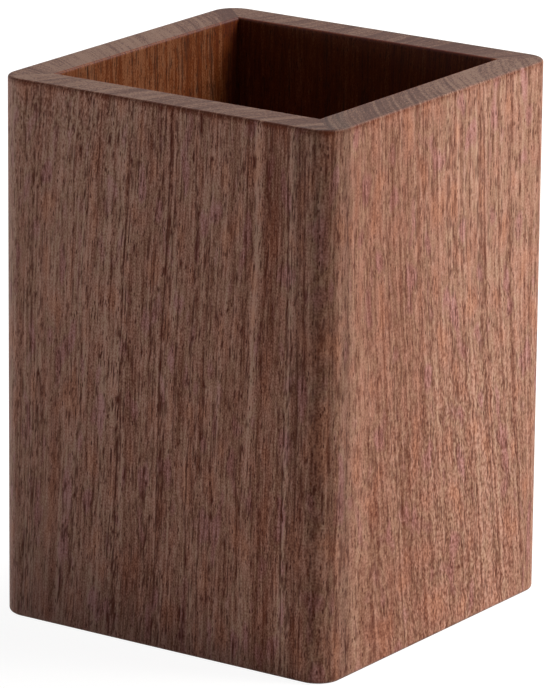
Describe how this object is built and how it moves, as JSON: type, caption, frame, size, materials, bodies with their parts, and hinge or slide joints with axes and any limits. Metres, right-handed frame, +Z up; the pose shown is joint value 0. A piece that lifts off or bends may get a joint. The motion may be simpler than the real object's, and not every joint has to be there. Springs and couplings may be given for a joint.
{
  "type": "pen stand",
  "caption": "Square open-topped desk cup in oiled dark walnut, with mitred upright-grain walls, rounded corners and a grooved-in base, for standing pens and pencils in.",
  "frame": {"origin": "on the desk, at the middle of the stand's underside", "axes": "+Z up along the stand's height, +X towards the right wall and -Y towards the viewer of the front wall"},
  "size_m": [0.075, 0.075, 0.105],
  "materials": {
    "black_walnut": "sanded black walnut with a thin satin oil finish, pores left open"
  },
  "bodies": {
    "root": {"front_wall": "black_walnut", "right_wall": "black_walnut", "back_wall": "black_walnut", "left_wall": "black_walnut", "base_panel": "black_walnut"}
  },
  "joints": []
}
